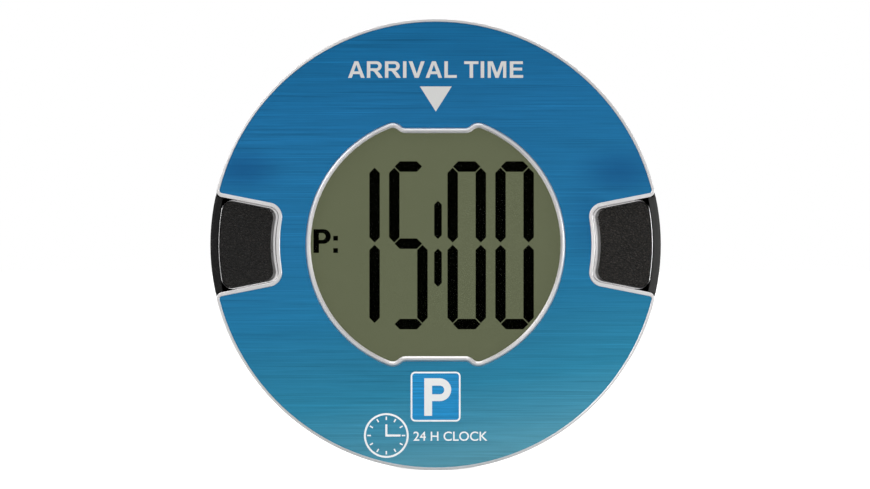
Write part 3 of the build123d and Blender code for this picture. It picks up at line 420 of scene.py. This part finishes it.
# Bold capitals, drawn in units of their height: (width, outlines)
BOLD = {
    "A": (1.0, [[(0, 0), (0.385, 1), (0.615, 1), (1, 0), (0.775, 0), (0.7, 0.225), (0.3, 0.225),
                 (0.225, 0)], [(0.356, 0.39), (0.644, 0.39), (0.5, 0.80)]]),
    "E": (0.80, [[(0, 0), (0, 1), (0.785, 1), (0.785, 0.832), (0.206, 0.832), (0.206, 0.612),
                  (0.74, 0.612), (0.74, 0.444), (0.206, 0.444), (0.206, 0.168), (0.80, 0.168),
                  (0.80, 0)]]),
    "I": (0.206, [[(0, 0), (0, 1), (0.206, 1), (0.206, 0)]]),
    "L": (0.745, [[(0, 0), (0, 1), (0.206, 1), (0.206, 0.168), (0.745, 0.168), (0.745, 0)]]),
    "M": (1.12, [[(0, 0), (0, 1), (0.30, 1), (0.56, 0.31), (0.82, 1), (1.12, 1), (1.12, 0),
                  (0.932, 0), (0.932, 0.785), (0.656, 0), (0.464, 0), (0.188, 0.785),
                  (0.188, 0)]]),
    "P": (0.716, [[(0, 0), (0.207, 0), (0.207, 0.39)] + arc(0.411, 0.695, 0.305, 0.305, -90, 90)
                  + [(0, 1)],
                  [(0.207, 0.574)] + arc(0.417, 0.6885, 0.115, 0.1145, -90, 90)
                  + [(0.207, 0.803)]]),
    "R": (0.955, [[(0, 0), (0.206, 0), (0.206, 0.418), (0.30, 0.418), (0.365, 0.41),
                   (0.415, 0.385), (0.465, 0.33), (0.705, 0), (0.955, 0), (0.825, 0.205),
                   (0.755, 0.30), (0.70, 0.36), (0.635, 0.405)]
                  + arc(0.59, 0.71, 0.30, 0.29, -70, 90) + [(0, 1)],
                  [(0.206, 0.576)] + arc(0.565, 0.705, 0.12, 0.129, -90, 90)
                  + [(0.206, 0.834)]]),
    "T": (0.86, [[(0.327, 0), (0.327, 0.832), (0, 0.832), (0, 1), (0.86, 1), (0.86, 0.832),
                  (0.533, 0.832), (0.533, 0)]]),
    "V": (0.965, [[(0.365, 0), (0, 1), (0.228, 1), (0.486, 0.255), (0.74, 1), (0.965, 1),
                   (0.60, 0)]]),
}


def lettering(words, height, width=None):
    """Outlines of bold words, centred across zero with their foot at zero, in millimetres.

    Upright strokes stand a little further from their neighbours than slanting ones."""
    gap, space = 0.0, 0.34
    widths = [space if letter == " " else BOLD[letter][0] for letter in words]
    room = [0.08 * ((one in "IM") + (two in "EILMPR")) for one, two in zip(words, words[1:])] + [0]
    if width is not None:
        gap = (width / height - sum(widths) - sum(room)) / (len(words) - 1)
    left = -(sum(widths) + sum(room) + gap * (len(words) - 1)) / 2
    outlines = []
    for letter, wide, more in zip(words, widths, room):
        if letter != " ":
            outlines += [[((left + x) * height, z * height) for x, z in outline]
                         for outline in BOLD[letter][1]]
        left += wide + gap + more
    return outlines


def rounded(side, radius, margin=0.0):
    """Outline of a square with rounded corners about zero, drawn in by margin."""
    turn = radius - margin
    middle = side / 2 - radius
    corners = ((1, 1, 0), (-1, 1, 90), (-1, -1, 180), (1, -1, 270))
    return [point for across, up, start in corners
            for point in arc(across * middle, up * middle, turn, turn, start, start + 90, 8)]


def circle(radius, steps=96):
    """Outline of a circle about zero."""
    return arc(0, 0, radius, radius, 0, 360 - 360 / steps, steps - 1)


def plain_mesh(name, maker, material):
    """A mesh object from another object's evaluated shape, which is removed."""
    bpy.context.view_layer.update()
    shape = bpy.data.meshes.new_from_object(
        maker.evaluated_get(bpy.context.evaluated_depsgraph_get()))
    bpy.data.objects.remove(maker)
    shape.materials.clear()
    shape.materials.append(material)
    shape.name = name
    piece = bpy.data.objects.new(name, shape)
    bpy.context.scene.collection.objects.link(piece)
    return piece


def set_on_face(piece, across=0.0, up=0.0, lift=0.0):
    """Stands a flat piece drawn in millimetres up on the face, its top towards -Y."""
    middle = face_front - (ink_thickness / 2 - ink_bite + lift) * MM
    piece.data.transform(Matrix.Translation((across * MM, middle, up * MM))
                         @ Matrix.Rotation(math.radians(90), 4, "X") @ Matrix.Scale(MM, 4))
    piece.data.update()
    return piece


def printed(name, outlines, material, slot, across=0.0, up=0.0, lift=0.0, thick=ink_thickness):
    """Ink laid on the face inside the outlines, with holes where they nest."""
    drawing = bpy.data.curves.new(name, "CURVE")
    drawing.dimensions = "2D"
    drawing.fill_mode = "BOTH"
    drawing.extrude = thick / 2
    for outline in outlines:
        spline = drawing.splines.new("POLY")
        spline.points.add(len(outline) - 1)
        for point, (x, z) in zip(spline.points, outline):
            point.co = (x, z, 0, 1)
        spline.use_cyclic_u = True
    maker = bpy.data.objects.new(name, drawing)
    bpy.context.scene.collection.objects.link(maker)
    piece = set_on_face(plain_mesh(name, maker, material), across, up, lift)
    weld(piece)
    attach(piece, "body")
    return piece


def weld(piece):
    """Merges doubled points, so that the mesh is closed, and turns its faces outwards."""
    distance = 0.00001
    shape = bmesh.new()
    shape.from_mesh(piece.data)
    bmesh.ops.remove_doubles(shape, verts=shape.verts, dist=distance * MM)
    bmesh.ops.recalc_face_normals(shape, faces=shape.faces)
    shape.to_mesh(piece.data)
    shape.free()
    piece.data.update()


legend_height, legend_width, legend_foot = 3.85, 40.7, 38.8
printed("arrival_legend", lettering("ARRIVAL TIME", legend_height, width=legend_width),
        print_grey, "face_blue", up=legend_foot)
pointer_half, pointer_height = 3.7, 5.85
pointer_tip = (0.05, 30.95)
printed("arrival_pointer", [[(-pointer_half, pointer_height), (pointer_half, pointer_height),
                             (0.0, 0.0)]], print_grey, "face_blue", *pointer_tip)

sign_size, sign_corner, sign_border = 11.6, 1.05, 0.38
sign_middle = (0.0, -35.36)
letter_height, letter_aside, letter_drop = 8.73, 0.5, 4.45
over_ink = 0.01               # how much higher a second layer of ink stands
printed("parking_sign_field", [rounded(sign_size, sign_corner, sign_border / 2)], sign_blue,
        "face_blue", *sign_middle)
printed("parking_sign_border", [rounded(sign_size, sign_corner),
                                rounded(sign_size, sign_corner, sign_border)],
        print_bright, "face_blue", *sign_middle, lift=over_ink)
printed("parking_sign_letter", lettering("P", letter_height), print_white, "face_blue",
        across=letter_aside, up=sign_middle[1] - letter_drop, lift=over_ink)


def hands_at_three(long_hand, short_hand, width):
    """A clock's hands as one shape: the one upright, the other level to the right."""
    half = width / 2
    return [(-half, -half), (long_hand, -half), (long_hand, half), (half, half),
            (half, short_hand), (-half, short_hand)]


clock_middle = (-11.46, -44.4)
clock_radius = 5.2
clock_line = 0.45
hours = 12
mark_length, mark_width = 0.8, 0.32
mark_inset = 0.75             # the ring's inside to the marks' middles


def hour_marks(radius, count, length, width, thick):
    """Geometry nodes that set one mark at each hour round a dial, pointing at its middle."""
    tree = bpy.data.node_groups.new("hour_marks", "GeometryNodeTree")
    made = {}
    sizes = {"Radius": radius, "Length": length, "Width": width, "Thickness": thick}
    for name, value in sizes.items():
        made[name] = tree.interface.new_socket(name, in_out="INPUT", socket_type="NodeSocketFloat")
        made[name].default_value = value
    made["Count"] = tree.interface.new_socket("Count", in_out="INPUT", socket_type="NodeSocketInt")
    made["Count"].default_value = count
    finish = tree.interface.new_socket("Finish", in_out="INPUT", socket_type="NodeSocketMaterial")
    tree.interface.new_socket("Geometry", in_out="OUTPUT", socket_type="NodeSocketGeometry")
    nodes, links = tree.nodes, tree.links
    given = nodes.new("NodeGroupInput").outputs
    ring = nodes.new("GeometryNodeMeshCircle")
    links.new(given["Count"], ring.inputs["Vertices"])
    links.new(given["Radius"], ring.inputs["Radius"])
    size = nodes.new("ShaderNodeCombineXYZ")
    for socket, name in zip(size.inputs, ("Width", "Length", "Thickness")):
        links.new(given[name], socket)
    mark = nodes.new("GeometryNodeMeshCube")
    links.new(size.outputs[0], mark.inputs["Size"])
    spot = nodes.new("GeometryNodeInputPosition")
    turn = nodes.new("FunctionNodeAlignRotationToVector")
    turn.axis = "Y"
    turn.pivot_axis = "Z"
    links.new(spot.outputs[0], turn.inputs["Vector"])
    place = nodes.new("GeometryNodeInstanceOnPoints")
    links.new(ring.outputs[0], place.inputs["Points"])
    links.new(mark.outputs[0], place.inputs["Instance"])
    links.new(turn.outputs[0], place.inputs["Rotation"])
    real = nodes.new("GeometryNodeRealizeInstances")
    links.new(place.outputs[0], real.inputs[0])
    painted = nodes.new("GeometryNodeSetMaterial")
    links.new(real.outputs[0], painted.inputs["Geometry"])
    links.new(given["Finish"], painted.inputs["Material"])
    links.new(painted.outputs[0], nodes.new("NodeGroupOutput").inputs[0])
    return tree, finish.identifier


printed("clock_ring", [circle(clock_radius), circle(clock_radius - clock_line)], print_bright,
        "face_blue", *clock_middle)
printed("clock_hands", [hands_at_three(long_hand=3.3, short_hand=2.6, width=0.48)], print_bright,
        "face_blue", *clock_middle)


def clock_marks():
    """The dial's hour marks."""
    tree, finish_socket = hour_marks(clock_radius - clock_line - mark_inset, hours,
                                     mark_length, mark_width, ink_thickness)
    maker = bpy.data.objects.new("clock_marks", bpy.data.meshes.new("clock_marks"))
    bpy.context.scene.collection.objects.link(maker)
    ring = maker.modifiers.new("hours", "NODES")
    ring.node_group = tree
    ring[finish_socket] = print_bright
    piece = set_on_face(plain_mesh("clock_marks", maker, print_bright), *clock_middle)
    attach(piece, "body")


clock_marks()


def small_words(name, words, height, left, foot, bolder):
    """Plain small lettering, sized by its capitals, its strokes drawn out by bolder."""
    capital_share = 0.7           # the capitals' height over the letters' size
    text = bpy.data.curves.new(name, "FONT")
    text.body = words
    text.size = height / capital_share
    text.extrude = ink_thickness / 2
    text.offset = bolder
    text.resolution_u = 6
    maker = bpy.data.objects.new(name, text)
    bpy.context.scene.collection.objects.link(maker)
    piece = plain_mesh(name, maker, print_bright)
    first = min(vertex.co.x for vertex in piece.data.vertices)
    piece.data.transform(Matrix.Translation((-first, 0, 0)))
    set_on_face(piece, left, foot)
    weld(piece)
    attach(piece, "body")


small_words("hours_note", "24 H CLOCK", height=2.13, left=-5.15, foot=-45.6, bolder=0.025)


# ---- White filling in the back's marks: shut, open, and the cover's pointer ----

mark_depth = 0.25
fill_thickness = 0.06
sunk = mark_depth - fill_thickness        # the back to the filling's surface
flange = 0.7                  # the cover's flange, which its pointer is cut through


def fill(name, outline, body, across, up, floor=mark_depth):
    """White filling in a mark cut in the back, from its floor to just under the surface."""
    thick = floor - sunk
    piece = printed(name, [outline], print_white, "housing_black", across, up, thick=thick)
    back = disc_back - (floor - thick / 2) * MM
    front = face_front - (ink_thickness / 2 - ink_bite) * MM
    piece.data.transform(Matrix.Translation((0, back - front, 0)))
    piece.data.update()
    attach(piece, body)


mark_ring = 34.6              # the disc's axis to the two round marks
mark_fill_radius = 0.56
for name, turn in (("shut_mark", 0), ("open_mark", 30)):
    sideways, upwards = math.sin(math.radians(turn)), math.cos(math.radians(turn))
    fill(name, circle(mark_fill_radius, 24), "body", mark_ring * sideways, mark_ring * upwards)
cover_mark_ring = 29.6        # the disc's axis to the middle of the cover's pointer
cover_mark_side = 2.2
mark_foot = -cover_mark_side / math.sqrt(12)
mark_top = cover_mark_side / math.sqrt(3)
fill("cover_pointer", [(-cover_mark_side / 2, mark_foot), (cover_mark_side / 2, mark_foot),
                       (0, mark_top)], "cover", 0, cover_mark_ring, floor=flange)


# ---- Studio ----

def floor():
    """A wide pale floor under the rim, plain white to the camera."""
    sheet = bmesh.new()
    bmesh.ops.create_grid(sheet, x_segments=8, y_segments=8, size=6)
    shape = bpy.data.meshes.new("floor")
    sheet.to_mesh(shape)
    sheet.free()
    shape.transform(Matrix.Translation((0, 0, rim_foot)))
    piece = bpy.data.objects.new("floor", shape)
    bpy.context.scene.collection.objects.link(piece)
    pale = bpy.data.materials.new("pale_floor")
    pale.use_nodes = True
    nodes, links = pale.node_tree.nodes, pale.node_tree.links
    shader = nodes["Principled BSDF"]
    shader.inputs["Base Color"].default_value = (0.5, 0.5, 0.5, 1)
    shader.inputs["Roughness"].default_value = 0.9
    shader.inputs["Specular IOR Level"].default_value = 0.0
    glow = nodes.new("ShaderNodeEmission")
    glow.inputs["Color"].default_value = (1, 1, 1, 1)
    ray = nodes.new("ShaderNodeLightPath")
    links.new(ray.outputs["Is Camera Ray"], glow.inputs["Strength"])
    both = nodes.new("ShaderNodeAddShader")
    links.new(shader.outputs[0], both.inputs[0])
    links.new(glow.outputs[0], both.inputs[1])
    links.new(both.outputs[0], nodes["Material Output"].inputs["Surface"])
    shape.materials.append(pale)


def softbox(name, place, width, height, watts):
    """A soft lamp that faces the disc."""
    lamp = bpy.data.lights.new(name, "AREA")
    lamp.shape = "RECTANGLE"
    lamp.size, lamp.size_y = width, height
    lamp.energy = watts
    piece = bpy.data.objects.new(name, lamp)
    piece.location = place
    piece.rotation_euler = (-Vector(place)).to_track_quat("-Z", "Y").to_euler()
    bpy.context.scene.collection.objects.link(piece)


def studio_air(left, right):
    """White air for the camera, and a greyer one to light the disc, from left to right."""
    world = bpy.data.worlds.new("studio")
    world.use_nodes = True
    nodes, links = world.node_tree.nodes, world.node_tree.links
    white = nodes["Background"]
    white.inputs["Color"].default_value = (1, 1, 1, 1)
    white.inputs["Strength"].default_value = 1.0
    grey = nodes.new("ShaderNodeBackground")
    grey.inputs["Color"].default_value = (1, 1, 1, 1)
    way = nodes.new("ShaderNodeTexCoord")
    split = nodes.new("ShaderNodeSeparateXYZ")
    links.new(way.outputs["Generated"], split.inputs[0])
    level = nodes.new("ShaderNodeMapRange")
    level.inputs["From Min"].default_value = -1.0
    level.inputs["To Min"].default_value = left
    level.inputs["To Max"].default_value = right
    links.new(split.outputs["X"], level.inputs["Value"])
    links.new(level.outputs[0], grey.inputs["Strength"])
    either = nodes.new("ShaderNodeMixShader")
    ray = nodes.new("ShaderNodeLightPath")
    links.new(ray.outputs["Is Camera Ray"], either.inputs[0])
    links.new(grey.outputs[0], either.inputs[1])
    links.new(white.outputs[0], either.inputs[2])
    links.new(either.outputs[0], nodes["World Output"].inputs["Surface"])
    bpy.context.scene.world = world


floor()
studio_air(left=0.42, right=0.76)
softbox("key_softbox", (0.50, -0.48, -0.16), 0.4, 0.5, 3.9)
softbox("upper_softbox", (-0.48, -0.50, 0.36), 0.55, 0.45, 2.7)
softbox("top_softbox", (0.0, -0.15, 0.7), 0.6, 0.3, 0.8)
softbox("back_softbox", (0.1, 0.7, 0.35), 0.6, 0.5, 9.0)


def camera():
    """Square on to the face, far enough off for little perspective."""
    lens, sensor, seen_width = 150.0, 36.0, 0.20237
    aside, above = -0.00014, 0.00003
    view = bpy.data.cameras.new("camera")
    view.lens, view.sensor_width = lens, sensor
    view.clip_start, view.clip_end = 0.05, 20
    piece = bpy.data.objects.new("camera", view)
    piece.location = (aside, face_front - seen_width * lens / sensor, above)
    piece.rotation_euler = (math.radians(90), 0, 0)
    bpy.context.scene.collection.objects.link(piece)
    bpy.context.scene.camera = piece


camera()
bpy.context.scene.view_settings.view_transform = "Standard"
